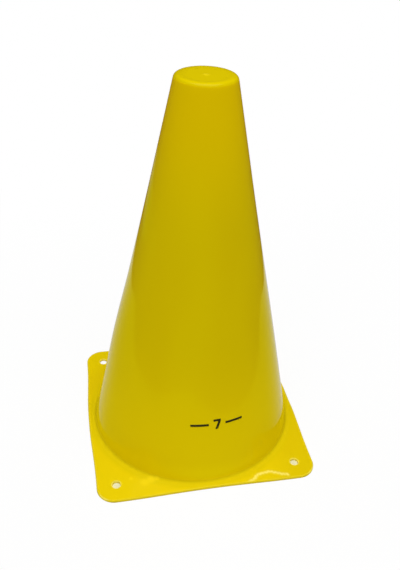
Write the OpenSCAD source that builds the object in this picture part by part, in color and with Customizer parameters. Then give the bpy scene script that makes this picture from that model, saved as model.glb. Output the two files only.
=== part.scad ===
// Marker cone: a hollow tapered cone on a thin square plate, open below.
// Lengths are in millimetres. The plate rests on z = 0 and the cone's axis is the Z axis.

/* [Cone wall] */
// Full height, from the ground to the top of the crown
cone_h = 230; // [160:1:320]
// Distance from the wall's foot, on top of the plate, to the middle of each side of the plate
foot_margin = 4.6; // [4:0.1:20]
// Outer diameter of the wall's line at the full height, before the shoulder is rounded
crown_d = 32.4; // [24:0.2:60]
// Thickness of the wall, square to its slope
wall_t = 1.5; // [1:0.1:2.5]

/* [Foot ring] */
// Radius of the outer fillet between the wall and the base plate
foot_fillet_r = 2; // [1:0.1:3]
// Straight height of the foot ring above its fillet
foot_land_h = 1.5; // [1:0.1:5]

/* [Base plate] */
// Length of each side of the square plate
plate_side = 135; // [100:1:200]
// Thickness of the plate
plate_t = 1.5; // [1:0.1:3]
// Radius of the plate's corners
plate_corner_r = 11; // [4:0.5:20]
// Diameter of the peg hole in each corner
peg_hole_d = 4.8; // [3:0.1:8]
// Distance of each peg hole's centre from both of its sides
peg_hole_inset = 11.8; // [7:0.1:14]

/* [Crown] */
// Radius of the rounded shoulder
shoulder_r = 2.4; // [1:0.1:4]
// Straight height of the crown's skirt below its shoulder
skirt_h = 3.6; // [3:0.1:10]
// Thickness of the closed top
crown_t = 1.8; // [1:0.1:3]
// Radius of the corner inside, between the skirt and the closed top
inner_corner_r = 1; // [0.4:0.1:1.6]
// Width of the flat rim between the shoulder and the recess
rim_w = 1; // [0.4:0.1:3]
// Depth of the recess inside the rim
recess_depth = 0.4; // [0.2:0.1:0.8]
// Diameter of the gate mark in the middle of the recess
gate_d = 3; // [1:0.1:8]
// Height of the gate mark above the floor of the recess
gate_h = 0.2; // [0.1:0.05:0.2]

/* [Number print] */
// Height of the printed number above the ground, at its middle
number_z = 41; // [20:1:120]
// Turn of the print round the axis, from the front towards +X, in degrees
number_turn = 4.7; // [-90:0.1:90]
// Height of the numeral
number_h = 6.4; // [4:0.1:14]
// Width of the numeral
number_w = 4.4; // [3:0.1:10]
// Width of the printed strokes
stroke_w = 1.3; // [0.6:0.1:1.6]
// Length of the bar on each side of the numeral
bar_l = 11; // [4:0.1:20]
// Gap between the numeral and each bar
bar_gap = 3; // [1:0.1:8]
// Thickness of the ink
ink_t = 0.15; // [0.1:0.01:0.3]

/* [Hidden] */
$fn = 180;
overrun = 1;

plate_yellow = "#E4C800";
wall_yellow = "#C8B000";
foot_yellow = "#C0A600";
crown_yellow = "#D8C000";
ink_black = "#1C1A16";

// Steps of each rounded stretch of an outline
arc_steps = 8;

// Leg of the numeral: its width as a share of a stroke, its foot as a share of half the numeral
leg_w_share = 1.15;
leg_foot_share = 0.5;

// Outer radius where the wall's line meets the top of the base plate
foot_r = plate_side / 2 - foot_margin;

// Slope of the wall: radius lost for each unit of height, and its angle from upright
wall_slope = (foot_r - crown_d / 2) / (cone_h - plate_t);
wall_angle = atan(wall_slope);

// Outer and inner radius of the wall's line at height z
function wall_outer_r(z) = foot_r - wall_slope * (z - plate_t);
function wall_inner_r(z) = wall_outer_r(z) - wall_t / cos(wall_angle);

// Points along a round stretch of an outline, from angle a to angle b
function arc(centre, r, a, b) =
    [for (i = [0:arc_steps]) let (t = a + (b - a) * i / arc_steps) centre + r * [cos(t), sin(t)]];

// Foot ring: the mouth's rounding is concentric with the fillet where plate and wall are alike
mouth_r = foot_fillet_r + wall_t;
fillet_z = plate_t + foot_fillet_r;
ring_r = wall_outer_r(fillet_z) + foot_fillet_r / cos(wall_angle);
mouth_centre_r = wall_inner_r(mouth_r) + mouth_r / cos(wall_angle);
foot_joint_z = fillet_z + foot_land_h;

// Crown: the shoulder rolls into a flat rim, and the recess starts inside it
shoulder_z = cone_h - shoulder_r;
shoulder_centre_r = wall_outer_r(shoulder_z) - shoulder_r / cos(wall_angle);
crown_joint_z = shoulder_z - skirt_h;
recess_r = shoulder_centre_r - rim_w;
recess_z = cone_h - recess_depth;
ceiling_z = recess_z - crown_t;
corner_z = ceiling_z - inner_corner_r;
corner_centre_r = wall_inner_r(corner_z) - inner_corner_r / cos(wall_angle);

// Print: the middle of a bar, measured along the wall from the middle of the numeral
bar_offset = number_w / 2 + bar_gap + bar_l / 2;

// Square outline with rounded corners
module plate_outline() {
    inner = plate_side - 2 * plate_corner_r;
    square([plate_side, inner], center = true);
    square([inner, plate_side], center = true);
    for (x = [-inner / 2, inner / 2])
        for (y = [-inner / 2, inner / 2])
            translate([x, y]) circle(r = plate_corner_r);
}

// One peg hole in each corner, through the plate
module peg_holes() {
    place = plate_side / 2 - peg_hole_inset;
    for (x = [-place, place])
        for (y = [-place, place])
            translate([x, y, -overrun]) cylinder(d = peg_hole_d, h = plate_t + 2 * overrun);
}

module base_plate() {
    color(plate_yellow)
    difference() {
        linear_extrude(plate_t) plate_outline();
        translate([0, 0, -overrun]) cylinder(r = ring_r, h = plate_t + 2 * overrun);
        peg_holes();
    }
}

// The bend that carries the wall: it fills the plate's round opening
module foot_ring() {
    color(foot_yellow)
    rotate_extrude()
        polygon(concat(
            arc([ring_r, fillet_z], foot_fillet_r, 270, 180 + wall_angle),
            [[wall_outer_r(foot_joint_z), foot_joint_z], [wall_inner_r(foot_joint_z), foot_joint_z]],
            arc([mouth_centre_r, mouth_r], mouth_r, 180 + wall_angle, 270),
            [[ring_r, 0]]
        ));
}

module cone_wall() {
    color(wall_yellow)
    rotate_extrude()
        polygon([
            [wall_inner_r(foot_joint_z), foot_joint_z],
            [wall_outer_r(foot_joint_z), foot_joint_z],
            [wall_outer_r(crown_joint_z), crown_joint_z],
            [wall_inner_r(crown_joint_z), crown_joint_z]
        ]);
}

// The closed top: skirt, shoulder, rim, recess and gate mark
module crown() {
    color(crown_yellow)
    rotate_extrude()
        polygon(concat(
            [[wall_inner_r(crown_joint_z), crown_joint_z], [wall_outer_r(crown_joint_z), crown_joint_z]],
            arc([shoulder_centre_r, shoulder_z], shoulder_r, wall_angle, 90),
            [
                [recess_r, cone_h],
                [recess_r - recess_depth, recess_z],
                [gate_d / 2, recess_z],
                [gate_d / 2, recess_z + gate_h],
                [0, recess_z + gate_h],
                [0, ceiling_z]
            ],
            arc([corner_centre_r, corner_z], inner_corner_r, 90, wall_angle)
        ));
}

// Skin of ink on the wall's outer face, over the height of the numeral
module ink_skin() {
    low = number_z - number_h;
    high = number_z + number_h;
    skin = ink_t / cos(wall_angle);
    rotate_extrude()
        polygon([
            [wall_outer_r(low), low],
            [wall_outer_r(low) + skin, low],
            [wall_outer_r(high) + skin, high],
            [wall_outer_r(high), high]
        ]);
}

// Cuts its flat shape out of the skin of ink, a length along the wall from the numeral's middle
module printed(along) {
    turn = along / wall_outer_r(number_z) * 180 / PI;
    intersection() {
        ink_skin();
        rotate([0, 0, number_turn + turn])
            translate([0, 0, number_z])
                rotate([90, 0, 0])
                    linear_extrude(plate_side) children();
    }
}

// Numeral seven: a top bar and a slanting leg
module numeral() {
    half_w = number_w / 2;
    half_h = number_h / 2;
    leg_w = stroke_w * leg_w_share;
    leg_x = -half_w * leg_foot_share;
    polygon([
        [-half_w, half_h],
        [half_w, half_h],
        [half_w, half_h - stroke_w],
        [leg_x + leg_w, -half_h],
        [leg_x, -half_h],
        [half_w - leg_w, half_h - stroke_w],
        [-half_w, half_h - stroke_w]
    ]);
}

module number_print() {
    color(ink_black) {
        printed(0) numeral();
        for (side = [-1, 1])
            printed(side * bar_offset) square([bar_l, stroke_w], center = true);
    }
}

base_plate();
foot_ring();
cone_wall();
crown();
number_print();
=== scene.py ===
"""Looks of the marker cone: one yellow polyethylene moulding with a black pad-printed number.

The size classes are in millimetres and the meshes in metres. The moulding is shown region by
region, as it is packed. Neighbouring regions share the same rings of points where they meet, so
that no seam shows between them.
"""

import logging
import math
from collections.abc import Callable, Sequence
from dataclasses import asdict, dataclass
from enum import Enum
from functools import partial
from typing import Any

import bmesh
import bpy
import numpy as np
from mathutils import Matrix, Vector
from mathutils.geometry import delaunay_2d_cdt


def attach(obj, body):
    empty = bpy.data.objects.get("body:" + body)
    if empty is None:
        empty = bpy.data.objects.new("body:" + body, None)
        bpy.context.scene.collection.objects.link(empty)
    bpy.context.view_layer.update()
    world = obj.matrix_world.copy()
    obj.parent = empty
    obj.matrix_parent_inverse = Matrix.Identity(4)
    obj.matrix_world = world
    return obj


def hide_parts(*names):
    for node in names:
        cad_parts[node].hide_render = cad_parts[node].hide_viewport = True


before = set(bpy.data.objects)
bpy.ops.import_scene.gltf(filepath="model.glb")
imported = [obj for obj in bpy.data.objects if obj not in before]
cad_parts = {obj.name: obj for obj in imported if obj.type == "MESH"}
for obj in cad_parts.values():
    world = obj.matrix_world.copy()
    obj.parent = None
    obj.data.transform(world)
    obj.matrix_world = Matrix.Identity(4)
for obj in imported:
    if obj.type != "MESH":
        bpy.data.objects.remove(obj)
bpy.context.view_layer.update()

MM = 0.001
BODY = "root"
SHARP_ANGLE = math.radians(38)

MATH = "ShaderNodeMath"
VECTOR_MATH = "ShaderNodeVectorMath"
RANGE = "ShaderNodeMapRange"
SMOOTH = "SMOOTHSTEP"
MIX = "ShaderNodeMix"

# The Mix node's inputs by number: its factor, and the two colours or two numbers that it mixes
FACTOR, COLOUR_A, COLOUR_B, NUMBER_A, NUMBER_B = 0, 6, 7, 2, 3
COLOURS: dict[str, Any] = {"data_type": "RGBA", "out": 2}

# The lowest and the highest corner of an object's bounding box
BOX_ENDS = (0, 6)

Pair = tuple[float, float]
Colour = tuple[float, float, float, float]

log = logging.getLogger("marker_cone")


class Slot(Enum):
    """The record's material slots."""

    PLATE = "plate_plastic"
    CONE = "cone_plastic"
    INK = "print_ink"


class Along(Enum):
    """What the reach of a patch is measured along. The last two are attributes of the mesh."""

    ACROSS = "across"
    BACK = "back"
    HEIGHT = "height"
    RADIUS = "radius"
    CREASE = "crease"
    RIM = "rim"


def linear(colour: str) -> Colour:
    """Turns an sRGB hex colour into linear light.

    Args:
        colour: six hex digits after a hash sign.

    Returns:
        Red, green, blue and full opacity.
    """
    channels = [int(colour[i:i + 2], 16) / 255 for i in (1, 3, 5)]
    straight = [c / 12.92 if c <= 0.04045 else ((c + 0.055) / 1.055) ** 2.4 for c in channels]
    return (*straight, 1.0)


def grey(level: float) -> Colour:
    """Gives the grey of a level of linear light."""
    return (level, level, level, 1.0)


def add_node(
    tree: bpy.types.NodeTree,
    kind: str,
    inputs: dict[str | int, Any] | Sequence[Any] = (),
    out: str | int | None = 0,
    **settings: Any,
) -> Any:
    """Adds a node with its settings, values and links.

    Args:
        tree: the shader, world or geometry tree.
        kind: Blender's type name of the node.
        inputs: what each input takes, by name or number or in order: a value or another's output.
        out: the output that is wanted, or None for all of them.
        settings: the node's attributes.

    Returns:
        That output, or all of them.
    """
    node = tree.nodes.new(kind)
    for name, value in settings.items():
        setattr(node, name, value)
    for name, value in inputs.items() if isinstance(inputs, dict) else enumerate(inputs):
        if isinstance(value, bpy.types.NodeSocket):
            tree.links.new(value, node.inputs[name])
        else:
            node.inputs[name].default_value = value
    return node.outputs if out is None else node.outputs[out]


def new_material(name: str) -> tuple[bpy.types.Material, bpy.types.NodeTree]:
    """Makes a material without nodes.

    Args:
        name: its name.

    Returns:
        The material and its empty tree.
    """
    made = bpy.data.materials.new(name)
    made.use_nodes = True
    made.node_tree.nodes.clear()
    return made, made.node_tree


def make_object(name: str, mesh: bpy.types.Mesh) -> bpy.types.Object:
    """Links a mesh into the scene as an object at the origin.

    Args:
        name: the piece's name.
        mesh: its mesh, in metres.

    Returns:
        The new object.
    """
    piece = bpy.data.objects.new(name, mesh)
    bpy.context.scene.collection.objects.link(piece)
    return piece


def shade(mesh: bpy.types.Mesh) -> None:
    """Shades a mesh smooth up to its sharp edges."""
    mesh.shade_smooth()
    mesh.set_sharp_from_angle(angle=SHARP_ANGLE)


def closed_mesh(name: str, points: np.ndarray, faces: list[tuple[int, ...]]) -> bpy.types.Mesh:
    """Makes a closed mesh whose faces point outwards.

    Args:
        name: the mesh's name.
        points: its points in millimetres, one row each.
        faces: the points of each face, in either direction.

    Returns:
        The smooth-shaded mesh in metres.
    """
    mesh = bpy.data.meshes.new(name)
    mesh.from_pydata((points * MM).tolist(), [], faces)
    work = bmesh.new()
    work.from_mesh(mesh)
    bmesh.ops.recalc_face_normals(work, faces=work.faces)
    work.to_mesh(mesh)
    work.free()
    shade(mesh)
    return mesh


def arc(centre: Pair, radius: float, start: float, end: float, steps: int) -> list[Pair]:
    """Gives the points of a round stretch of an outline.

    Args:
        centre: its centre's radius and height.
        radius: its own radius.
        start: angle of the first point, in degrees.
        end: angle of the last point, in degrees.
        steps: how many steps it has.

    Returns:
        The points, first and last included.
    """
    turns = [math.radians(start + (end - start) * i / steps) for i in range(steps + 1)]
    return [(centre[0] + radius * math.cos(t), centre[1] + radius * math.sin(t)) for t in turns]


def geometry_tree(name: str, sizes: dict[str, float]) -> tuple[bpy.types.NodeTree, Any]:
    """Starts a Geometry Nodes tree that takes a geometry, named sizes and a material.

    Args:
        name: the tree's name.
        sizes: each size under its input's name. A whole number is a count.

    Returns:
        The tree and the outputs of its Group Input.
    """
    tree = bpy.data.node_groups.new(name, "GeometryNodeTree")
    kinds = {"Geometry": "Geometry", "Material": "Material"}
    kinds |= {label: "Int" if isinstance(size, int) else "Float" for label, size in sizes.items()}
    for label, kind in kinds.items():
        tree.interface.new_socket(name=label, in_out="INPUT", socket_type=f"NodeSocket{kind}")
    tree.interface.new_socket(name="Geometry", in_out="OUTPUT", socket_type="NodeSocketGeometry")
    return tree, add_node(tree, "NodeGroupInput", out=None)


def end_tree(tree: bpy.types.NodeTree, geometry: Any, material: Any) -> None:
    """Ends a geometry tree in Realize Instances and Set Material.

    Args:
        tree: the tree.
        geometry: the socket with the finished shape.
        material: the socket with its material.
    """
    real = add_node(tree, "GeometryNodeRealizeInstances", {"Geometry": geometry})
    inputs = {"Geometry": real, "Material": material}
    dressed = add_node(tree, "GeometryNodeSetMaterial", inputs)
    add_node(tree, "NodeGroupOutput", {"Geometry": dressed}, out=None)


def add_modifier(
    piece: bpy.types.Object, tree: bpy.types.NodeTree, values: dict[str, Any]
) -> None:
    """Adds a Geometry Nodes modifier and sets its inputs by their sockets' identifiers.

    Args:
        piece: the object.
        tree: the geometry tree.
        values: the value of each named input.
    """
    modifier = piece.modifiers.new(tree.name, "NODES")
    modifier.node_group = tree
    identifiers = {
        item.name: item.identifier
        for item in tree.interface.items_tree
        if item.item_type == "SOCKET" and item.in_out == "INPUT"
    }
    for name, value in values.items():
        modifier[identifiers[name]] = value


def make_plain(piece: bpy.types.Object) -> None:
    """Turns the result of a piece's modifiers into its plain mesh.

    Args:
        piece: the object, whose modifiers are then removed.
    """
    graph = bpy.context.evaluated_depsgraph_get()
    mesh = bpy.data.meshes.new_from_object(piece.evaluated_get(graph), depsgraph=graph)
    mesh.name = piece.name
    piece.modifiers.clear()
    piece.data = mesh
    shade(mesh)


@dataclass(frozen=True)
class Grain:
    """Noise on a surface, by the size of its blobs and the depth of its bumps in millimetres.

    A squeeze below one draws the blobs out upwards.
    """

    size: float
    depth: float = 0.0
    squeeze: float = 1.0
    detail: float = 1.0
    twist: float = 0.0

    def add(self, tree: bpy.types.NodeTree, place: Any) -> Any:
        """Adds the noise to a material.

        Args:
            tree: the material's tree.
            place: the socket with the object's coordinates.

        Returns:
            The socket with the noise, from nought to one.
        """
        inputs = {"Vector": place, "Scale": (1.0, 1.0, self.squeeze)}
        inputs = {
            "Vector": add_node(tree, "ShaderNodeMapping", inputs),
            "Scale": 1 / (self.size * MM),
            "Detail": self.detail,
            "Distortion": self.twist,
        }
        return add_node(tree, "ShaderNodeTexNoise", inputs)


@dataclass(frozen=True)
class Patch:
    """A part of the surface with a tint of its own, or a gloss: its roughness and specular level.

    Each entry of its reach names a measure, and the lengths in millimetres between which the
    patch grows from nought to full. An attribute of the mesh is a share already and has none.
    Some tints are the plastic's own colour, and others are painted light and painted shade.
    """

    name: str
    reach: tuple[tuple[Any, ...], ...]
    colour: str = ""
    gloss: Pair | None = None

    def mask(self, tree: bpy.types.NodeTree, measures: dict[Along, Any]) -> Any:
        """Adds the patch's mask to a material.

        Args:
            tree: the material's tree.
            measures: the socket of each measure.

        Returns:
            The socket with the patch's share.
        """
        share = None
        for along, *ends in self.reach:
            rise = measures[along]
            if ends:
                inputs = (rise, *(end * MM for end in ends))
                rise = add_node(tree, RANGE, inputs, interpolation_type=SMOOTH)
            if share is not None:
                rise = add_node(tree, MATH, (share, rise), operation="MULTIPLY")
            share = rise
        return share


ON_PLATE = (Along.HEIGHT, 3.0, 1.6)
ON_WALL = (Along.HEIGHT, 1.6, 3.2)
ON_TOP = (Along.HEIGHT, 228.6, 229.4)


@dataclass(frozen=True)
class Polyethylene:
    """Injection-moulded high-density polyethylene with a yellow masterbatch.

    The polished mould leaves a glossy skin. Over centimetres the thin skin is slightly wavy from
    uneven cooling, and over a millimetre it has a fine orange peel, so reflections keep soft,
    uneven edges. The colour drifts a little where the melt flowed. Near the top the cone is narrow
    and light passes through it from all round, so the wall is painted a warmer yellow there, a
    painted glow. Low on the wall and just above the plate it is painted paler, a painted glow of
    the light that the plate passes on. The plate is painted darker round the foot and towards its
    right and back, and the top is painted darker, more so in its recess and at its back: painted
    shade.
    The bend at the foot is dull, and handling has dulled the crown and the plate's edge. The
    plate's edges and the walls of its holes are painted paler, a painted light, and the gate is
    painted paler, a painted highlight. Along the crease where the plate has been knocked and bent,
    and in a few spots on the plate in front, it is painted whitish: painted highlights. The yellow
    is deeper than a screen can show, so what it mirrors face on looks yellow and only a grazing
    reflection looks white. The bumps are the waves, the orange peel and the upright rub lines that
    cones leave on each other in a stack, drawn coarser than real ones so that they show.
    """

    colour: str = "#E6CD00"
    deep_colour: str = "#E3C800"
    flow: Grain = Grain(size=24.0, squeeze=0.15, twist=0.1)
    flow_range: Pair = (0.35, 0.7)
    ior: float = 1.51
    specular: float = 0.5
    specular_tint: str = "#FFFF95"
    roughness: Pair = (0.03, 0.05)
    smear: Grain = Grain(size=16.0, detail=3.0, twist=0.4)
    smear_range: Pair = (0.3, 0.7)
    bumps: tuple[Grain, ...] = (
        Grain(size=16.0, depth=0.02),
        Grain(size=1.4, depth=0.0006),
        Grain(size=0.5, depth=0.0006, squeeze=0.5 / 24.0),
    )
    foot_oval: float = 0.015
    patches: tuple[Patch, ...] = (
        # Painted glow: the wall is painted a warmer yellow near the top, where light passes through
        # it.
        Patch("painted glow at the top", ((Along.HEIGHT, 150, 228), (Along.HEIGHT, 229.6, 228)), "#F2CF00"),
        # Painted glow: the lower wall is painted paler, for the light that the plate passes on.
        Patch("painted glow low on the wall", ((Along.HEIGHT, 95, 20), ON_WALL), "#EFD200"),
        # Painted glow: the wall just above the plate is painted paler still, for the same bounced
        # light.
        Patch("painted glow above the plate", ((Along.HEIGHT, 16, 3.5), ON_WALL), "#F6DC00"),
        Patch("plate", (ON_PLATE,), "#E6CB08", gloss=(0.08, 0.12)),
        # Painted shade: the plate is painted darker towards its right.
        Patch("painted shade right of the plate", ((Along.ACROSS, 34, 58), ON_PLATE), "#DEC307"),
        # Painted shade: the plate is painted darker towards its back.
        Patch("painted shade at the back of the plate", ((Along.BACK, -5, 40), ON_PLATE), "#DEC307"),
        # Painted shade: the top of the crown is painted darker.
        Patch("top", (ON_TOP,), "#E0C900"),
        # Painted shade: the recess in the top is painted darker still.
        Patch("recess", ((Along.RADIUS, 13.9, 10), ON_TOP), "#DAC300"),
        # Painted shade: the back of the top is painted darker again.
        Patch("painted shade at the back of the top", ((Along.RADIUS, 9, 14), (Along.BACK, -13, 10), ON_TOP), "#CBB500"),
        # Painted highlight: the gate's mark is painted paler.
        Patch("gate", ((Along.RADIUS, 2.4, 0.6), (Along.HEIGHT, 228, 229)), "#E6CE16"),
        # Painted shade: the plate and the bottom of the bend are painted darker round the foot.
        Patch("painted shade round the foot", ((Along.RADIUS, 70, 65.5), (Along.HEIGHT, 3.4, 1.8)), "#DDC506"),
        Patch("bend", ((Along.RADIUS, 66.5, 65), (Along.HEIGHT, 3.6, 2.4)), gloss=(0.8, 0.06)),
        Patch("handled top", ((Along.HEIGHT, 226.8, 228.2),), gloss=(0.2, 0.09)),
        # Painted light: the plate's edges are painted paler; the gloss makes them dull.
        Patch("rim", ((Along.RIM,),), "#E5CD1E", gloss=(0.7, 0.1)),
        # Painted highlight: the crease of the dent, and the walls of the holes, are painted
        # whitish.
        Patch("crease", ((Along.CREASE,),), "#FFEF70"),
    )
    # Painted highlights: a few soft spots on the plate in front are painted paler.
    scuff_colour: str = "#EED414"
    scuff_height: float = 1.5
    scuff_core: float = 0.2
    scuffs: tuple[tuple[float, float, float], ...] = (
        (-38.9, -56.7, 4.0),
        (-34.8, -55.3, 3.8),
        (-31.0, -54.8, 2.4),
        (-46.7, -52.8, 1.8),
    )

    def material(self, name: str) -> bpy.types.Material:
        """Builds the material.

        Args:
            name: its name.

        Returns:
            The finished material.
        """
        made, tree = new_material(name)
        add = partial(add_node, tree)
        place = add("ShaderNodeTexCoord", out="Object")
        share = add(RANGE, (self.flow.add(tree, place), *self.flow_range))
        hues = {COLOUR_A: linear(self.colour), COLOUR_B: linear(self.deep_colour)}
        tint = add(MIX, {FACTOR: share, **hues}, **COLOURS)
        smear = self.smear.add(tree, place)
        roughness = add(RANGE, (smear, *self.smear_range, *self.roughness))
        specular = self.specular
        measures = self._measures(tree, place)
        for patch in self.patches:
            share = patch.mask(tree, measures)
            if patch.colour:
                hues = {COLOUR_A: tint, COLOUR_B: linear(patch.colour)}
                tint = add(MIX, {FACTOR: share, **hues}, **COLOURS, label=patch.name)
            if patch.gloss:
                roughness, specular = (
                    add(MIX, {FACTOR: share, NUMBER_A: a, NUMBER_B: b}, data_type="FLOAT")
                    for a, b in zip((roughness, specular), patch.gloss)
                )
        # Painted highlights, in spots on the plate in front.
        for x, y, size in self.scuffs:
            centre = (x * MM, y * MM, self.scuff_height * MM)
            away = add(VECTOR_MATH, (place, centre), "Value", operation="DISTANCE")
            ends = (size * MM, self.scuff_core * size * MM)
            share = add(RANGE, (away, *ends), interpolation_type=SMOOTH)
            hues = {COLOUR_A: tint, COLOUR_B: linear(self.scuff_colour)}
            tint = add(MIX, {FACTOR: share, **hues}, **COLOURS, label="scuff")
        under = {}
        for grain in self.bumps:
            inputs = {"Height": grain.add(tree, place), "Distance": grain.depth * MM, **under}
            under = {"Normal": add("ShaderNodeBump", inputs)}
        surface = {
            "Base Color": tint,
            "Roughness": roughness,
            "IOR": self.ior,
            "Specular IOR Level": specular,
            "Specular Tint": linear(self.specular_tint),
            **under,
        }
        shader = add("ShaderNodeBsdfPrincipled", surface)
        add("ShaderNodeOutputMaterial", {"Surface": shader}, None)
        return made

    def _measures(self, tree: bpy.types.NodeTree, place: Any) -> dict[Along, Any]:
        """Adds what the patches are measured along.

        Args:
            tree: the material's tree.
            place: the socket with the object's coordinates.

        Returns:
            The socket of each measure. The radius is scaled so that the oval foot is round.
        """
        sockets = list(add_node(tree, "ShaderNodeSeparateXYZ", (place,), None))
        scale = (1 - self.foot_oval, 1 + self.foot_oval, 0.0)
        flat = add_node(tree, VECTOR_MATH, (place, scale), operation="MULTIPLY")
        sockets.append(add_node(tree, VECTOR_MATH, (flat,), "Value", operation="LENGTH"))
        for along in (Along.CREASE, Along.RIM):
            kind = "ShaderNodeAttribute"
            sockets.append(add_node(tree, kind, out="Fac", attribute_name=along.value))
        return dict(zip(Along, sockets))


@dataclass(frozen=True)
class PadInk:
    """Two-part pad-printing ink on flame-treated polyethylene.

    The silicone pad lays down a thin, dense and slightly matt film with tiny pinholes, drawn
    coarser than real ones, so it looks a soft black beside the glossy plastic.
    """

    colour: str = "#17150F"
    worn_colour: str = "#2A2718"
    worn_range: Pair = (0.55, 0.8)
    roughness: float = 0.42
    ior: float = 1.5
    grain: Grain = Grain(size=0.5, depth=0.004, detail=2.0)

    def material(self, name: str) -> bpy.types.Material:
        """Builds the material.

        Args:
            name: its name.

        Returns:
            The finished material.
        """
        made, tree = new_material(name)
        add = partial(add_node, tree)
        grain = self.grain.add(tree, add("ShaderNodeTexCoord", out="Object"))
        thin = add(RANGE, (grain, *self.worn_range))
        hues = {COLOUR_A: linear(self.colour), COLOUR_B: linear(self.worn_colour)}
        surface = {
            "Base Color": add(MIX, {FACTOR: thin, **hues}, **COLOURS),
            "Roughness": self.roughness,
            "IOR": self.ior,
            "Normal": add("ShaderNodeBump", {"Height": grain, "Distance": self.grain.depth * MM}),
        }
        shader = add("ShaderNodeBsdfPrincipled", surface)
        add("ShaderNodeOutputMaterial", {"Surface": shader}, None)
        return made


@dataclass(frozen=True)
class Moulding:
    """Sizes that the regions of the moulding share, in millimetres."""

    height: float = 230.0
    foot_radius: float = 62.9
    crown_radius: float = 16.2
    wall: float = 1.5
    plate: float = 1.5
    fillet: float = 2.0
    foot_land: float = 1.5
    shoulder: float = 2.4
    skirt: float = 3.6
    collar: float = 0.5
    segments: int = 288

    @property
    def slope(self) -> float:
        """Radius that the wall loses for each millimetre of height."""
        return (self.foot_radius - self.crown_radius) / (self.height - self.plate)

    @property
    def lean(self) -> float:
        """Angle of the wall from upright, in radians."""
        return math.atan(self.slope)

    @property
    def fillet_z(self) -> float:
        """Height of the fillet's centre."""
        return self.plate + self.fillet

    @property
    def ring_radius(self) -> float:
        """Radius of the circle where the plate meets the foot."""
        return self.outer(self.fillet_z) + self.fillet / math.cos(self.lean)

    @property
    def foot_joint(self) -> float:
        """Height at which the foot hands over to the wall."""
        return self.fillet_z + self.foot_land

    @property
    def shoulder_z(self) -> float:
        """Height of the shoulder's centre."""
        return self.height - self.shoulder

    @property
    def crown_joint(self) -> float:
        """Height at which the wall hands over to the crown."""
        return self.shoulder_z - self.skirt

    def outer(self, z: float) -> float:
        """Outer radius of the wall's line at a height."""
        return self.foot_radius - self.slope * (z - self.plate)

    def inner(self, z: float) -> float:
        """Inner radius of the wall's line at a height."""
        return self.outer(z) - self.wall / math.cos(self.lean)


# The warp's sums in order: what each gives, its operation, and what it takes. A smooth step takes
# a value, and where it starts and ends.
WARP_SUMS = (
    ("radius", "MULTIPLY", "x", "x"),
    ("radius", "MULTIPLY_ADD", "y", "y", "radius"),
    ("radius", "SQRT", "radius"),
    ("turn", "ARCTAN2", "y", "x"),
    ("across", "COSINE", "turn"),
    ("back", "SINE", "turn"),
    ("up fade", SMOOTH, "z", "Round height", "Full height"),
    ("out fade", SMOOTH, "radius", "Corner radius", "Full radius"),
    ("beyond", SMOOTH, "radius", "Bow start", "Bow end"),
    ("aside", "MULTIPLY", "turn", 2.0),
    ("aside", "COSINE", "aside"),
    ("oval", "MULTIPLY", "up fade", "out fade"),
    ("oval", "MULTIPLY", "oval", "Oval"),
    ("oval", "MULTIPLY", "oval", "aside"),
    ("bow", "MULTIPLY", "beyond", "out fade"),
    ("bow", "MULTIPLY", "bow", "Bow"),
    ("aside", "MAXIMUM", "aside", 0.0),
    ("aside", "POWER", "aside", "Bow sharpness"),
    ("oval", "MULTIPLY_ADD", "bow", "aside", "oval"),
    ("level", "SUBTRACT", "z", "Bulge height"),
    ("level", "ABSOLUTE", "level"),
    ("bulge", SMOOTH, "level", "Bulge reach", 0.0),
    ("bulge", "MULTIPLY", "bulge", "Bulge"),
    ("flare", SMOOTH, "z", "Flare end", "Flare start"),
    ("flare", "MULTIPLY", "flare", "Flare"),
    ("flare", "MULTIPLY", "flare", "out fade"),
    ("lost", "MULTIPLY", "beyond", "Flare loss share"),
    ("kept", "SUBTRACT", 1.0, "lost"),
    ("swell", "MULTIPLY_ADD", "flare", "kept", "bulge"),
    ("facing", "SUBTRACT", "turn", "Bulge turn"),
    ("facing", "COSINE", "facing"),
    ("facing", "MAXIMUM", "facing", 0.0),
    ("facing", "POWER", "facing", "Bulge sharpness"),
    ("shift", "MULTIPLY_ADD", "swell", "facing", "oval"),
    ("X", "MULTIPLY", "shift", "across"),
    ("Y", "MULTIPLY", "shift", "back"),
    ("along", "SUBTRACT", "turn", "Lift turn"),
    ("along", "COSINE", "along"),
    ("along", "MULTIPLY", "along", "radius"),
    ("lifted", SMOOTH, "along", "Lift start", "Lift end"),
    ("Z", "MULTIPLY", "lifted", "Lift"),
)


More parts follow.
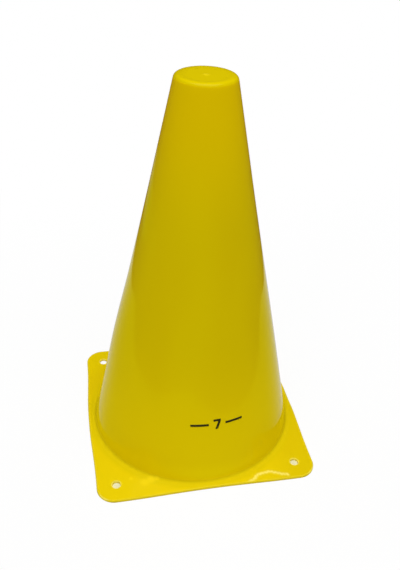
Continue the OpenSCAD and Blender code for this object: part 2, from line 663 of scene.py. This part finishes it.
@dataclass(frozen=True)
class CoolingWarp:
    """Slight distortion of the thin moulding as it cools and is packed, in millimetres.

    The foot turns oval, wider from side to side than from front to back. The plate's sides go with
    it and bow a little further, its corners stay where they are, and the oval fades out up the
    wall. On its left the wall bulges a little and flares at the foot, where the plate loses a
    share of the flare towards its edge, and the plate's corner behind that has lifted.
    """

    oval: float = 0.98
    full_height: float = 55.0
    round_height: float = 175.0
    full_radius: float = 66.0
    corner_radius: float = 88.0
    bow: float = 0.55
    bow_start: float = 66.4
    bow_end: float = 68.4
    bow_sharpness: float = 2.0
    bulge: float = 0.75
    bulge_height: float = 68.0
    bulge_reach: float = 48.0
    bulge_turn: float = 167.3
    bulge_sharpness: float = 3.0
    flare: float = 0.75
    flare_start: float = 12.0
    flare_end: float = 58.0
    flare_loss_share: float = 0.5
    lift: float = 0.9
    lift_start: float = 62.0
    lift_end: float = 82.0
    lift_turn: float = 135.0

    def sizes(self) -> dict[str, float]:
        """Gives the geometry tree's sizes.

        Returns:
            Each size under its input's name. Turns are in radians and lengths in metres.
        """
        units = {"turn": math.radians(1), "share": 1.0, "sharpness": 1.0}
        return {
            name.replace("_", " ").capitalize(): size * units.get(name.split("_")[-1], MM)
            for name, size in asdict(self).items()
        }

    def tree(self) -> bpy.types.NodeTree:
        """Builds the geometry tree that moves the points.

        Returns:
            The tree, with its sizes as named inputs.
        """
        tree, given = geometry_tree("cooling_warp", self.sizes())
        add = partial(add_node, tree)
        place = add("GeometryNodeInputPosition")
        known = dict(zip("xyz", add("ShaderNodeSeparateXYZ", (place,), None)))
        known |= {socket.name: socket for socket in given}
        for name, operation, *terms in WARP_SUMS:
            inputs = [known.get(term, term) for term in terms]
            if operation == SMOOTH:
                known[name] = add(RANGE, inputs, interpolation_type=SMOOTH)
            else:
                known[name] = add(MATH, inputs, operation=operation)
        offset = add("ShaderNodeCombineXYZ", {axis: known[axis] for axis in "XYZ"})
        inputs = {"Geometry": known["Geometry"], "Offset": offset}
        end_tree(tree, add("GeometryNodeSetPosition", inputs), known["Material"])
        return tree


@dataclass
class Region:
    """A region of the moulding, shown as a piece of its own."""

    mould: Moulding
    warp: CoolingWarp
    name: str = ""
    node: str = ""
    slot: Slot = Slot.CONE
    warped: bool = True

    def build(self) -> bpy.types.Object:
        """Builds the region's object."""
        raise NotImplementedError

    def dress(
        self, piece: bpy.types.Object, material: bpy.types.Material, tree: bpy.types.NodeTree
    ) -> None:
        """Gives the piece its material and its warp, as a plain mesh.

        Args:
            piece: the region's object.
            material: its material.
            tree: the warp's geometry tree.
        """
        piece.data.materials.clear()
        piece.data.materials.append(material)
        if self.warped:
            add_modifier(piece, tree, {**self.warp.sizes(), "Material": material})
            make_plain(piece)

    def hand_over(self, piece: bpy.types.Object) -> None:
        """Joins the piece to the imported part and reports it.

        Args:
            piece: the region's finished object.
        """
        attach(piece, BODY)
        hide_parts(self.node)
        box = [[round(c / MM, 2) for c in piece.bound_box[end]] for end in BOX_ENDS]
        log.info("%s: %d faces, from %s to %s mm", piece.name, len(piece.data.polygons), *box)

    def turned(self, outline: list[Pair]) -> bpy.types.Mesh:
        """Turns a closed outline round the Z axis.

        Args:
            outline: radius and height of each point, in millimetres. A point on the axis is a pole.

        Returns:
            The closed mesh.
        """
        count = self.mould.segments
        turns = np.linspace(0, 2 * math.pi, count, endpoint=False)
        points: list[tuple[float, float, float]] = []
        rows: list[list[int]] = []
        for radius, z in outline:
            if radius == 0:
                rows.append([len(points)] * count)
                points.append((0.0, 0.0, z))
            else:
                rows.append(list(range(len(points), len(points) + count)))
                points += [(radius * math.cos(t), radius * math.sin(t), z) for t in turns]
        faces = []
        for low, high in zip(rows, rows[1:] + rows[:1]):
            for i in range(count):
                j = (i + 1) % count
                corners = dict.fromkeys((low[i], low[j], high[j], high[i]))
                if len(corners) > 2:
                    faces.append(tuple(corners))
        return closed_mesh(self.name, np.array(points), faces)


@dataclass
class BasePlate(Region):
    """The thin square plate round the foot, with a peg hole in each corner.

    Its edges are rounded, and in front it has a dent whose crease is a narrow, uneven ridge.
    """

    name: str = "square_plate"
    node: str = "base_plate"
    slot: Slot = Slot.PLATE
    side: float = 135.0
    corner_radius: float = 11.0
    hole_radius: float = 2.4
    hole_inset: float = 11.8
    edge: float = 0.7
    low_edge: float = 0.12
    edge_steps: int = 5
    low_steps: int = 3
    corner_steps: int = 16
    side_steps: int = 60
    hole_steps: int = 48
    collar: float = 0.5
    margin: float = 0.9
    spacing: float = 1.5
    fine_spacing: float = 0.24
    row_share: float = 0.866
    merge: float = 1e-5
    dent: tuple[Pair, ...] = (
        (25.0, -66.6), (27.4, -65.5), (28.6, -64.6), (29.2, -63.5), (30.4, -62.6), (31.5, -62.1),
        (33.2, -61.9), (34.4, -61.5), (35.4, -61.6), (36.6, -61.2), (38.8, -61.0), (39.7, -61.5),
        (41.3, -62.1), (42.7, -62.6), (43.6, -62.9), (45.4, -64.0), (47.9, -64.3), (48.9, -65.0),
    )
    crease_step: float = 0.25
    crease_radius: float = 0.8
    crease_height: float = 0.16
    crease_least: float = 0.65
    crease_beads: Pair = (2.7, 1.07)
    crease_wiggle: float = 0.22
    crease_pitch: float = 2.3
    crease_trace: float = 0.005
    # Share of the painted highlight on the edges away from the straight sides, round the holes, and
    # the band along those sides that is left out.
    punched: float = 0.5
    punched_band: float = 1.5

    @property
    def reach(self) -> float:
        """Distance of the corners' centres from the middle, along X and Y."""
        return self.side / 2 - self.corner_radius

    @property
    def hole_centres(self) -> list[Pair]:
        """Centres of the four peg holes."""
        place = self.side / 2 - self.hole_inset
        return [(x, y) for x in (-place, place) for y in (-place, place)]

    def outline(self, inset: float) -> np.ndarray:
        """Gives the square outline with round corners, moved inwards.

        Args:
            inset: how far it is moved in.

        Returns:
            Its points, anticlockwise.
        """
        reach, half = self.reach, self.side / 2 - inset
        steps = self.side_steps
        straight = [(half, -reach + 2 * reach * i / steps) for i in range(steps)]
        bend = arc((reach, reach), self.corner_radius - inset, 0, 90, self.corner_steps)[:-1]
        points: list[Pair] = []
        for c, s in ((1, 0), (0, 1), (-1, 0), (0, -1)):
            points += [(x * c - y * s, x * s + y * c) for x, y in straight + bend]
        return np.array(points)

    def circle(self, centre: Pair, radius: float, steps: int) -> np.ndarray:
        """Gives the points of a circle.

        Args:
            centre: its centre.
            radius: its radius.
            steps: how many points it has.

        Returns:
            Its points, anticlockwise from +X.
        """
        turns = np.linspace(0, 2 * math.pi, steps, endpoint=False)
        return np.array(centre) + radius * np.stack([np.cos(turns), np.sin(turns)], axis=1)

    def inside(self, points: np.ndarray, margin: float) -> np.ndarray:
        """Tells which points lie on the plate's flat face.

        Args:
            points: the points.
            margin: how far they have to stay from its loops.

        Returns:
            Whether each does.
        """
        past = np.maximum(np.abs(points) - self.reach, 0)
        corner = self.corner_radius - np.hypot(*past.T)
        straight = self.side / 2 - np.abs(points).max(axis=1)
        keep = np.where((past > 0).all(axis=1), corner, straight) > self.edge + margin
        keep &= np.hypot(*points.T) > self.mould.ring_radius + margin
        for centre in self.hole_centres:
            away = np.hypot(*(points - np.array(centre)).T)
            keep &= away > self.hole_radius + self.edge + margin
        return keep

    def crease(self, points: np.ndarray) -> np.ndarray:
        """Gives how strongly each place on the plate is creased by the knock.

        Args:
            points: the places.

        Returns:
            A share up to one: a narrow, uneven line along the dent.
        """
        line = np.array(self.dent)
        run = np.concatenate([[0.0], np.cumsum(np.hypot(*np.diff(line, axis=0).T))])
        long_bead, short_bead = self.crease_beads
        share = np.zeros(len(points))
        for along in np.arange(0, run[-1], self.crease_step):
            place = np.array([np.interp(along, run, line[:, i]) for i in (0, 1)])
            swing = math.sin(2 * math.pi * along / long_bead) * math.sin(along / short_bead)
            place[1] += self.crease_wiggle * math.sin(2 * math.pi * along / self.crease_pitch)
            strength = self.crease_least + (1 - self.crease_least) * (0.5 + 0.5 * swing)
            away = np.hypot(*(points - place).T) / self.crease_radius
            share = np.maximum(share, strength * np.exp(-(away**2)))
        return share

    def build(self) -> bpy.types.Object:
        """Builds the plate: two triangulated faces joined by rounded edges.

        Returns:
            The plate's object.
        """
        flat, triangles, loops = self._face()
        count = len(flat)
        crease = self.crease(flat)
        under = flat.copy()
        for loop, shape in loops[:-1]:
            under[loop] = shape(self.low_edge)
        points = [
            np.column_stack([flat, self.mould.plate + self.crease_height * crease]),
            np.column_stack([under, np.zeros(count)]),
        ]
        faces = [tuple(i + side for i in t) for side in (0, count) for t in triangles]
        total = 2 * count
        for loop, shape in loops:
            rows = [loop]
            for inset, z in self._edge_profile():
                ring = shape(inset)
                points.append(np.column_stack([ring, np.full(len(ring), z)]))
                rows.append(list(range(total, total + len(ring))))
                total += len(ring)
            rows.append([i + count for i in loop])
            faces += [
                (low[i], low[(i + 1) % len(low)], high[(i + 1) % len(low)], high[i])
                for low, high in zip(rows, rows[1:])
                for i in range(len(low))
            ]
        places = np.concatenate(points)
        mesh = closed_mesh(self.name, places, faces)
        # The crease attribute carries the painted highlight: the crease, and a smaller share on the
        # edges round the holes.
        on_edge = np.arange(total) >= 2 * count
        within = np.abs(places[:, :2]).max(axis=1) < self.side / 2 - self.punched_band
        creased = np.where(on_edge & within, self.punched, 0.0)
        creased[:count] = crease
        # The rim attribute marks the plate's edges, which are painted paler: painted light.
        rim = on_edge.astype(float)
        for loop, _ in loops[:-1]:
            rim[loop] = 1.0
        for along, values in ((Along.CREASE, creased), (Along.RIM, rim)):
            attribute = mesh.attributes.new(along.value, "FLOAT", "POINT")
            attribute.data.foreach_set("value", values)
        return make_object(self.name, mesh)

    def _edge_profile(self) -> list[Pair]:
        """Gives the shape of the rounded edge.

        Returns:
            The inset and height of its points, between its top and bottom ones.
        """
        top = arc((self.edge, self.mould.plate - self.edge), self.edge, 90, 180, self.edge_steps)
        low = arc((self.low_edge, self.low_edge), self.low_edge, 180, 270, self.low_steps)
        return top[1:] + low[:-1]

    def _face(self) -> tuple[np.ndarray, list, list]:
        """Triangulates the flat face between its loops.

        Returns:
            Its points, its triangles, and for each loop its points' numbers and the function that
            gives the loop's shape at a distance inside the plate's edge.
        """
        shapes: list[Callable[[float], np.ndarray]] = [self.outline]
        for centre in self.hole_centres:
            shapes.append(
                lambda inset, c=centre: self.circle(c, self.hole_radius + inset, self.hole_steps)
            )
        opening = self.circle((0, 0), self.mould.ring_radius, self.mould.segments)
        rings = [*(shape(self.edge) for shape in shapes), opening]
        collars = [shape(self.edge + self.collar) for shape in shapes]
        shapes.append(lambda inset: opening)
        edges, start, loops = [], 0, []
        for ring in rings + collars:
            numbers = list(range(start, start + len(ring)))
            edges += list(zip(numbers, numbers[1:] + numbers[:1]))
            loops.append(numbers)
            start += len(ring)
        flat = np.concatenate([*rings, *collars, *self._filling()])
        found = delaunay_2d_cdt([Vector(p) for p in flat.tolist()], edges, [], 0, self.merge)
        coords = np.array([tuple(p) for p in found[0]])
        number = {old: new for new, olds in enumerate(found[3]) for old in olds}
        triangles = np.array(found[2])
        keep = self.inside(coords[triangles].mean(axis=1), 0.0)
        numbered = [[number[i] for i in loop] for loop in loops[:len(rings)]]
        return coords, triangles[keep].tolist(), list(zip(numbered, shapes))

    def _filling(self) -> list[np.ndarray]:
        """Gives the points between the loops.

        Returns:
            A coarse grid, and a fine one along the crease.
        """
        coarse, fine = self._grid(self.spacing), self._grid(self.fine_spacing)
        smooth = self.crease(coarse) < self.crease_trace
        rough = self.crease(fine) > self.crease_trace
        return [
            coarse[self.inside(coarse, self.margin + self.spacing / 2) & smooth],
            fine[self.inside(fine, self.margin) & rough],
        ]

    def _grid(self, spacing: float) -> np.ndarray:
        """Gives a triangular grid of points over the plate.

        Args:
            spacing: the distance between its points.

        Returns:
            The points.
        """
        half, row, steps = self.side / 2, self.row_share, int(self.side / spacing)
        places = [
            (-half + (i + 0.5 * (j % 2)) * spacing, -half + j * spacing * row)
            for j in range(int(steps / row) + 1)
            for i in range(steps + 1)
        ]
        return np.array(places)


@dataclass
class FootRing(Region):
    """The bend between plate and wall: a fillet outside and a wider rounding inside."""

    name: str = "foot_bend"
    node: str = "foot_ring"
    steps: int = 14
    flat_start: float = 0.8

    def build(self) -> bpy.types.Object:
        """Builds the bend as a turned shape.

        Returns:
            The foot's object.
        """
        m = self.mould
        lean = math.degrees(m.lean)
        mouth = m.fillet + m.wall
        mouth_centre = (m.inner(mouth) + mouth / math.cos(m.lean), mouth)
        centre = (m.ring_radius, m.fillet_z)
        top = m.foot_joint
        outline = [(m.ring_radius, m.plate)]
        outline += arc(centre, m.fillet, 270 - self.flat_start, 180 + lean, self.steps)
        outline += [(m.outer(z), z) for z in (top - m.collar, top)] + [(m.inner(top), top)]
        outline += arc(mouth_centre, mouth, 180 + lean, 270, self.steps)
        return make_object(self.name, self.turned(outline))


@dataclass
class ConeWall(Region):
    """The tapered wall, from the foot to the crown."""

    name: str = "cone_side"
    node: str = "cone_wall"
    rows: int = 36
    path_radius: float = 40.0

    def sizes(self) -> dict[str, float]:
        """Gives the geometry tree's sizes.

        Returns:
            Each size under its input's name, with the lengths in metres.
        """
        m = self.mould
        sizes = {"Segments": m.segments, "Rows": self.rows, "Path radius": self.path_radius * MM}
        for level, z in (("Low", m.foot_joint), ("High", m.crown_joint)):
            places = {"outer": m.outer(z), "inner": m.inner(z), "height": z}
            sizes |= {f"{level} {face}": length * MM for face, length in places.items()}
        return sizes

    def tree(self) -> bpy.types.NodeTree:
        """Builds the geometry tree that turns the wall's outline round the axis.

        Returns:
            The tree, with its sizes as named inputs.
        """
        tree, size = geometry_tree("turned_wall", self.sizes())
        add = partial(add_node, tree)
        inputs = {"Resolution": size["Segments"], "Radius": size["Path radius"]}
        path = add("GeometryNodeCurvePrimitiveCircle", inputs, mode="RADIUS")
        corners = {}
        for number, corner in enumerate(("Low inner", "High inner", "High outer", "Low outer"), 1):
            level = corner.split()[0]
            across = add(MATH, (size[corner], size["Path radius"]), operation="SUBTRACT")
            up = add(MATH, (size[f"{level} height"], -1.0), operation="MULTIPLY")
            corners[f"Point {number}"] = add("ShaderNodeCombineXYZ", (across, up))
        outline = add("GeometryNodeCurvePrimitiveQuadrilateral", corners, mode="POINTS")
        rows = add("GeometryNodeSubdivideCurve", {"Curve": outline, "Cuts": size["Rows"]})
        wall = add("GeometryNodeCurveToMesh", {"Curve": path, "Profile Curve": rows})
        end_tree(tree, wall, size["Material"])
        return tree

    def build(self) -> bpy.types.Object:
        """Builds the wall with its geometry tree.

        Returns:
            The wall's object, with the modifier still on it.
        """
        piece = make_object(self.name, bpy.data.meshes.new(self.name))
        add_modifier(piece, self.tree(), self.sizes())
        return piece


@dataclass
class Crown(Region):
    """The closed top: skirt, rolled shoulder, shallow recess and the mark of the gate.

    The recess is shown shallower than it is packed, because its step hardly shows on the real one.
    """

    name: str = "cone_top"
    node: str = "crown"
    warped: bool = False
    thickness: float = 1.8
    inner_corner: float = 1.0
    rim: float = 1.0
    recess: float = 0.4
    recess_shown: float = 0.18
    recess_run: float = 3.0
    gate_radius: float = 1.5
    gate_height: float = 0.2
    gate_run: float = 0.6
    steps: int = 14

    def wave(self, start: Pair, end: Pair) -> list[Pair]:
        """Gives the points of a smooth step between two levels.

        Args:
            start: radius and height where it leaves the first level.
            end: radius and height where it reaches the second.

        Returns:
            The points, first and last included.
        """
        shares = [i / self.steps for i in range(self.steps + 1)]
        eases = [(1 - math.cos(math.pi * share)) / 2 for share in shares]
        run, rise = end[0] - start[0], end[1] - start[1]
        return [(start[0] + run * s, start[1] + rise * e) for s, e in zip(shares, eases)]

    def build(self) -> bpy.types.Object:
        """Builds the crown as a turned shape.

        Returns:
            The crown's object.
        """
        m = self.mould
        lean = math.degrees(m.lean)
        low = m.crown_joint
        shoulder_r = m.outer(m.shoulder_z) - m.shoulder / math.cos(m.lean)
        rim_r = shoulder_r - self.rim
        floor = m.height - self.recess_shown
        gate_top = floor + self.gate_height
        ceiling = m.height - self.recess - self.thickness
        corner_z = ceiling - self.inner_corner
        corner_r = m.inner(corner_z) - self.inner_corner / math.cos(m.lean)
        outline = [(m.inner(low), low)] + [(m.outer(z), z) for z in (low, low + m.collar)]
        outline += arc((shoulder_r, m.shoulder_z), m.shoulder, lean, 90, self.steps)
        outline += self.wave((rim_r, m.height), (rim_r - self.recess_run, floor))
        outline += self.wave(
            (self.gate_radius + self.gate_run, floor), (self.gate_radius - self.gate_run, gate_top)
        )
        outline += [(0.0, gate_top), (0.0, ceiling)]
        outline += arc((corner_r, corner_z), self.inner_corner, 90, lean, self.steps)
        return make_object(self.name, self.turned(outline))


@dataclass
class NumberPrint(Region):
    """The pad-printed number between two bars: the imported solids, warped with the wall."""

    name: str = "printed_number"
    node: str = "number_print"
    slot: Slot = Slot.INK
    merge: float = 0.005

    def build(self) -> bpy.types.Object:
        """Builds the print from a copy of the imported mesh, whose loose triangles are merged.

        Returns:
            The print's object.
        """
        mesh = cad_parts[self.node].data.copy()
        work = bmesh.new()
        work.from_mesh(mesh)
        bmesh.ops.remove_doubles(work, verts=work.verts, dist=self.merge * MM)
        work.to_mesh(mesh)
        work.free()
        return make_object(self.name, mesh)


@dataclass(frozen=True)
class Viewpoint:
    """The camera's place in millimetres and degrees, and its image of 400 by 570 pixels."""

    azimuth: float = -12.69
    elevation: float = 33.02
    roll: float = 2.9
    distance: float = 391.4
    aim_height: float = 114.3
    aim_across: float = 3.85
    focal_px: float = 663.2
    centre_px: Pair = (204.1, 269.8)
    image_px: Pair = (400.0, 570.0)
    sensor: float = 36.0
    clip: Pair = (0.01, 50.0)

    def make(self) -> None:
        """Makes the camera and sets it as the scene's."""
        az, el, roll = (math.radians(a) for a in (self.azimuth, self.elevation, self.roll))
        back = Vector((math.sin(az) * math.cos(el), -math.cos(az) * math.cos(el), math.sin(el)))
        level = (-back).cross(Vector((0, 0, 1))).normalized()
        upright = level.cross(-back)
        right = level * math.cos(roll) + upright * math.sin(roll)
        up = upright * math.cos(roll) - level * math.sin(roll)
        aim = Vector((0, 0, self.aim_height)) + right * self.aim_across
        width, height = self.image_px
        data = bpy.data.cameras.new("camera")
        data.sensor_width = self.sensor
        data.lens = self.focal_px / height * self.sensor
        data.shift_x = (width / 2 - self.centre_px[0]) / height
        data.shift_y = (self.centre_px[1] - height / 2) / height
        data.clip_start, data.clip_end = self.clip
        camera = bpy.data.objects.new("camera", data)
        bpy.context.scene.collection.objects.link(camera)
        rotation = Matrix((right, up, back)).transposed().to_4x4()
        camera.matrix_world = Matrix.Translation((aim + back * self.distance) * MM) @ rotation
        bpy.context.scene.camera = camera


def stage_plane(name: str, half: Pair) -> tuple[bpy.types.Object, bpy.types.NodeTree]:
    """Makes a flat stage piece round the origin, with an empty material.

    Args:
        name: its name.
        half: half its length and half its width, in metres.

    Returns:
        Its object and the material's tree.
    """
    mesh = bpy.data.meshes.new(name)
    x, y = half
    mesh.from_pydata([(-x, -y, 0), (x, -y, 0), (x, y, 0), (-x, y, 0)], [], [(0, 1, 2, 3)])
    plane = make_object(name, mesh)
    made, tree = new_material(name)
    mesh.materials.append(made)
    return plane, tree


@dataclass(frozen=True)
class Sheet:
    """A white sheet on the table that only the gloss sees. Lengths are in metres.

    It has round ends and a soft edge. Its tint runs from yellow beside the object to white behind
    it, because a faint reflection of white on the deep yellow still looks yellow.
    """

    name: str
    centre: Pair
    turn: float
    core: Pair
    radius: float
    blur: float
    radiance: float
    tint_power: float
    glare: float
    depth: float = 0.0004
    yellow: str = "#FFFF40"
    pole: Pair = (0.051, -0.037)

    def make(self, view_turn: float) -> None:
        """Makes the sheet.

        Args:
            view_turn: the camera's azimuth, in degrees.
        """
        reach = self.radius + self.blur
        sheet, tree = stage_plane(self.name, (self.core[0] + reach, self.core[1] + reach))
        sheet.location = (*self.centre, -self.depth)
        sheet.rotation_euler = (0.0, 0.0, math.radians(self.turn))
        for ray in ("camera", "diffuse", "shadow", "transmission"):
            setattr(sheet, f"visible_{ray}", False)
        add = partial(add_node, tree)
        clear = add("ShaderNodeBsdfTransparent")
        tint = self._tint(tree, math.radians(view_turn))
        glow = add("ShaderNodeEmission", {"Color": tint, "Strength": self.radiance})
        mixed = add("ShaderNodeMixShader", (self._shape(tree), clear, glow))
        add("ShaderNodeOutputMaterial", {"Surface": mixed}, None)

    def _shape(self, tree: bpy.types.NodeTree) -> Any:
        """Adds the sheet's soft outline.

        Args:
            tree: the sheet's tree.

        Returns:
            The socket with the sheet's share.
        """
        past = add_node(tree, "ShaderNodeTexCoord", out="Object")
        steps = (("ABSOLUTE",), ("SUBTRACT", (*self.core, 0.0)), ("MAXIMUM", (0.0, 0.0, 0.0)))
        for operation, *terms in steps:
            past = add_node(tree, VECTOR_MATH, (past, *terms), operation=operation)
        away = add_node(tree, VECTOR_MATH, (past,), "Value", operation="LENGTH")
        ends = (self.radius + self.blur, self.radius - self.blur)
        return add_node(tree, RANGE, (away, *ends), interpolation_type=SMOOTH)

    def _tint(self, tree: bpy.types.NodeTree, turn: float) -> Any:
        """Adds the sheet's tint, which is whiter where it is mirrored at a grazing angle.

        Args:
            tree: the sheet's tree.
            turn: the camera's azimuth, in radians.

        Returns:
            The socket with the tint.
        """
        add = partial(add_node, tree)
        place = add("ShaderNodeNewGeometry", out="Position")
        c, s = math.cos(turn), math.sin(turn)
        across, behind = (
            add(VECTOR_MATH, (place, axis), "Value", operation="DOT_PRODUCT")
            for axis in ((c, s, 0.0), (-s, c, 0.0))
        )
        side = add(MATH, (across,), operation="ABSOLUTE")
        steps = [
            add(MATH, (value, pole), operation="SUBTRACT")
            for value, pole in zip((side, behind), self.pole)
        ]
        from_pole = add("ShaderNodeCombineXYZ", steps)
        length = add(VECTOR_MATH, (from_pole,), "Value", operation="LENGTH")
        facing = add(MATH, (steps[1], length), operation="DIVIDE", use_clamp=True)
        white = add(MATH, (facing, self.tint_power), operation="POWER")
        hues = {COLOUR_A: linear(self.yellow), COLOUR_B: grey(self.glare)}
        return add(MIX, {FACTOR: white, **hues}, **COLOURS)


@dataclass(frozen=True)
class Studio:
    """A pale floor under one large soft light, with quiet surroundings. Lengths are in metres.

    In the gloss the object sees the light and two white sheets on a dim, warm table.
    """

    turn: float = -12.7
    light_size: float = 2.8
    light_distance: float = 3.0
    light_tilt: float = 7.5
    light_turn: float = -7.7
    light_radiance: float = 4.5
    ambient: float = 0.045
    backdrop: float = 1.0
    floor_half: float = 6.0
    floor_colour: str = "#F4F4F4"
    hole_colour: str = "#DEDBB6"
    footprint: float = 0.0675
    hole_place: float = 0.0557
    hole_reach: float = 0.006
    shade_share: float = 0.1
    shade_reach: float = 0.35
    room: float = 0.012
    table_colour: str = "#7C5927"
    horizon: Pair = (-0.05, 0.05)
    sheets: tuple[Sheet, ...] = (
        Sheet(
            "sheet", centre=(-0.012, 0.062), turn=36.5, core=(0.152, 0.144), radius=0.068,
            blur=0.004, radiance=0.6, tint_power=4.4, glare=1.18,
        ),
        Sheet(
            "strip", centre=(-0.285, 0.405), turn=33.0, core=(0.12, 0.0), radius=0.095,
            blur=0.02, radiance=0.35, tint_power=8.0, glare=1.0,
        ),
    )

    def make(self) -> None:
        """Makes the light, the floor, the sheets and the surroundings."""
        bpy.context.scene.view_settings.view_transform = "Standard"
        self._light()
        self._floor()
        for sheet in self.sheets:
            sheet.make(self.turn)
        self._surroundings()

    def _light(self) -> None:
        """Makes the softbox, overhead and a little towards the camera."""
        data = bpy.data.lights.new("softbox", "AREA")
        data.shape = "SQUARE"
        data.size = self.light_size
        data.energy = self.light_radiance * math.pi * self.light_size**2
        light = bpy.data.objects.new("softbox", data)
        turn, tilt = math.radians(self.light_turn), math.radians(self.light_tilt)
        aside, near = math.sin(turn) * math.sin(tilt), -math.cos(turn) * math.sin(tilt)
        towards = Vector((aside, near, math.cos(tilt)))
        light.location = towards * self.light_distance
        light.rotation_euler = towards.to_track_quat("Z", "Y").to_euler()
        light.visible_camera = False
        bpy.context.scene.collection.objects.link(light)

    def _floor(self) -> None:
        """Makes the floor: pale to the camera, with a faint shade, and matt for light.

        Under the two front peg holes it is painted a darker, yellowish cream: a painted shade,
        tinted by the light that the plate passes on.
        """
        floor, tree = stage_plane("floor", (self.floor_half, self.floor_half))
        floor.visible_glossy = False
        add = partial(add_node, tree)
        place = add("ShaderNodeTexCoord", out="Object")
        off = add(VECTOR_MATH, (place,), operation="ABSOLUTE")
        x, y, _ = add("ShaderNodeSeparateXYZ", (off,), None)
        away = add(MATH, (x, y), operation="MAXIMUM")
        nearer = add(VECTOR_MATH, (place, (0.0, -1.0, 0.0)), operation="MULTIPLY")
        aside = add(VECTOR_MATH, (off, (1.0, 0.0, 0.0)), operation="MULTIPLY")
        near = add(VECTOR_MATH, (aside, nearer), operation="ADD")
        # Painted shade under the two front peg holes, tinted as light the plate passes on.
        hole = (self.hole_place, self.hole_place, 0.0)
        from_hole = add(VECTOR_MATH, (near, hole), "Value", operation="DISTANCE")
        outside = add(MATH, (from_hole, self.hole_reach), operation="GREATER_THAN")
        ends = (self.footprint, self.shade_reach, 1 - self.shade_share, 1.0)
        share = add(RANGE, (away, *ends), interpolation_type=SMOOTH)
        for factor in (outside, add("ShaderNodeLightPath", out="Is Camera Ray")):
            share = add(MATH, (share, factor), operation="MULTIPLY")
        hues = {COLOUR_A: linear(self.hole_colour), COLOUR_B: linear(self.floor_colour)}
        colour = add(MIX, {FACTOR: outside, **hues}, **COLOURS)
        matt = add("ShaderNodeBsdfDiffuse", {"Color": colour})
        glow = add("ShaderNodeEmission", {"Color": grey(1.0), "Strength": self.backdrop})
        mixed = add("ShaderNodeMixShader", (share, matt, glow))
        add("ShaderNodeOutputMaterial", {"Surface": mixed}, None)

    def _surroundings(self) -> None:
        """Makes the world: white to the camera, soft fill for matt light, a dim room for gloss."""
        world = bpy.data.worlds.new("studio")
        bpy.context.scene.world = world
        world.use_nodes = True
        world.cycles.sampling_method = "NONE"
        world.node_tree.nodes.clear()
        add = partial(add_node, world.node_tree)
        path = add("ShaderNodeLightPath", out=None)
        direction = add("ShaderNodeTexCoord", out="Generated")
        height = add("ShaderNodeSeparateXYZ", (direction,), "Z")
        above = add(RANGE, (height, *self.horizon), interpolation_type=SMOOTH)
        hues = {COLOUR_A: linear(self.table_colour), COLOUR_B: grey(self.room)}
        mirrored = add(MIX, {FACTOR: above, **hues}, **COLOURS)
        hues = {COLOUR_A: grey(self.ambient), COLOUR_B: mirrored}
        unseen = add(MIX, {FACTOR: path["Is Glossy Ray"], **hues}, **COLOURS)
        hues = {COLOUR_A: unseen, COLOUR_B: grey(self.backdrop)}
        seen = add(MIX, {FACTOR: path["Is Camera Ray"], **hues}, **COLOURS)
        glow = add("ShaderNodeBackground", {"Color": seen})
        add("ShaderNodeOutputWorld", {"Surface": glow}, None)


def main() -> None:
    """Builds the cone and its studio."""
    logging.basicConfig(level=logging.INFO, format="%(name)s %(message)s")
    Viewpoint().make()
    Studio().make()
    mould, warp = Moulding(), CoolingWarp()
    plastic = Polyethylene()
    finishes = {
        Slot.PLATE: plastic.material("moulded_polyethylene_plate"),
        Slot.CONE: plastic.material("moulded_polyethylene_cone"),
        Slot.INK: PadInk().material("pad_printing_ink"),
    }
    tree = warp.tree()
    for kind in (BasePlate, FootRing, ConeWall, Crown, NumberPrint):
        region = kind(mould, warp)
        piece = region.build()
        region.dress(piece, finishes[region.slot], tree)
        region.hand_over(piece)


if __name__ == "__main__":
    main()
